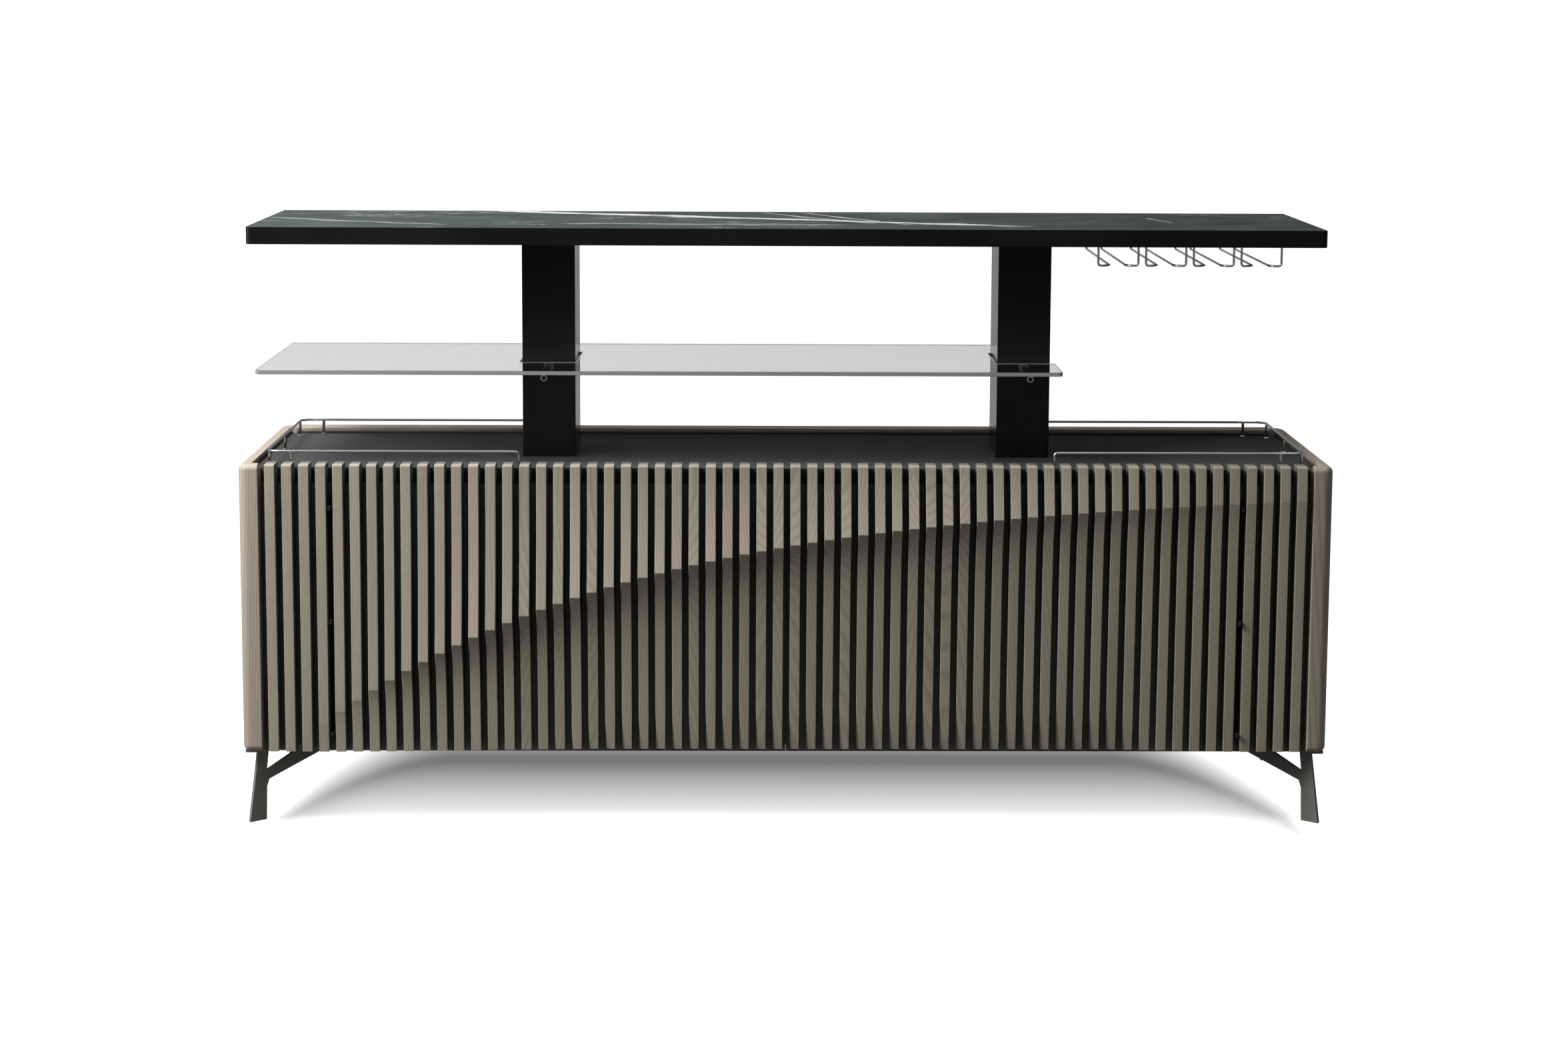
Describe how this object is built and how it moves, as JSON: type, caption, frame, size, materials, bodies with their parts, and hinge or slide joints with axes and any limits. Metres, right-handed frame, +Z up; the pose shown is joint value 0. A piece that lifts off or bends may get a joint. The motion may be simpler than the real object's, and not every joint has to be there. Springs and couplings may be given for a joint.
{
  "type": "bar sideboard",
  "caption": "Slatted sideboard with push-to-open doors on Y-shaped legs, carrying a bar counter on rectangular columns, a clear glass shelf, tray rails and a stemware rack.",
  "frame": {"origin": "centre of the bounding box at floor level", "axes": "+X along the front to the viewer's right, +Y from the slatted front to the back, +Z up"},
  "size_m": [2.1, 0.538, 1.16],
  "materials": {
    "greyed_wood": "taupe-grey stained open-grain wood, matt",
    "black_board": "black laminated board, matt",
    "tray_glass": "opaque black back-painted glass, glossy",
    "black_metal": "black paint, matt",
    "latch_plastic": "dark plastic",
    "zinc_steel": "zinc plated",
    "column_gloss": "black gloss paint",
    "counter_edge": "black lacquer on a board core, satin",
    "counter_stone": "dark green-grey veined stone, polished",
    "clear_glass": "clear float glass with polished edges",
    "chrome": "polished chrome plating",
    "leg_paint": "dark olive-grey powder coat, fine texture"
  },
  "bodies": {
    "cabinet": {"side_panel_left": "greyed_wood", "side_panel_right": "greyed_wood", "back_rail": "greyed_wood", "back_panel": "black_board", "bottom_panel": "black_board", "sub_top": "black_board", "tray_top": "tray_glass", "centre_partition": "black_board", "shelf_left": "black_board", "shelf_right": "black_board", "shelf_cleat_inner_left": "black_board", "shelf_cleat_inner_right": "black_board", "shelf_cleat_outer_left": "black_board", "shelf_cleat_outer_right": "black_board", "end_panel_left": "black_board", "end_panel_right": "black_board", "end_slats_left": "greyed_wood", "end_slats_right": "greyed_wood", "hinge_leaf_fixed_left": "black_metal", "hinge_leaf_fixed_right": "black_metal", "latch_body_left": "latch_plastic", "latch_body_right": "latch_plastic", "column_left": "column_gloss", "column_right": "column_gloss", "column_foot_plate_left": "zinc_steel", "column_foot_plate_right": "zinc_steel", "column_head_plate_left": "zinc_steel", "column_head_plate_right": "zinc_steel", "column_tie_rod_left": "zinc_steel", "column_tie_rod_right": "zinc_steel", "counter_core": "counter_edge", "counter_slab": "counter_stone", "glass_shelf": "clear_glass", "shelf_arm_front_left": "chrome", "shelf_arm_back_left": "chrome", "shelf_arm_front_right": "chrome", "shelf_arm_back_right": "chrome", "gallery_rail_left": "chrome", "gallery_rail_right": "chrome", "stemware_channel_1": "chrome", "stemware_channel_2": "chrome", "stemware_channel_3": "chrome", "stemware_channel_4": "chrome", "leg_front_left": "leg_paint", "leg_front_right": "leg_paint", "leg_back_left": "leg_paint", "leg_back_right": "leg_paint"},
    "door_left": {"door_panel_left": "black_board", "door_slats_left": "greyed_wood", "hinge_leaf_door_left": "black_metal", "latch_strike_left": "zinc_steel"},
    "door_right": {"door_panel_right": "black_board", "door_slats_right": "greyed_wood", "hinge_leaf_door_right": "black_metal", "latch_strike_right": "zinc_steel"},
    "plunger_left": {"latch_plunger_left": "latch_plastic"},
    "plunger_right": {"latch_plunger_right": "latch_plastic"}
  },
  "joints": [
    {"name": "door_left_hinge", "type": "hinge", "parent": "cabinet", "child": "door_left", "pos_m": [-0.87579, -0.2405, 0.4], "axis": [0, 0, -1], "range_deg": [0, 90]},
    {"name": "door_right_hinge", "type": "hinge", "parent": "cabinet", "child": "door_right", "pos_m": [0.87579, -0.2405, 0.4], "axis": [0, 0, 1], "range_deg": [0, 90]},
    {"name": "plunger_left_slide", "type": "slide", "parent": "cabinet", "child": "plunger_left", "axis": [0, -1, 0], "range_m": [0, 0.012]},
    {"name": "plunger_right_slide", "type": "slide", "parent": "cabinet", "child": "plunger_right", "axis": [0, -1, 0], "range_m": [0, 0.012]}
  ],
  "couplings": [
    {"joint": "plunger_left_slide", "follows": "door_left_hinge", "m_per_rad": 0.0076},
    {"joint": "plunger_right_slide", "follows": "door_right_hinge", "m_per_rad": 0.0076}
  ]
}
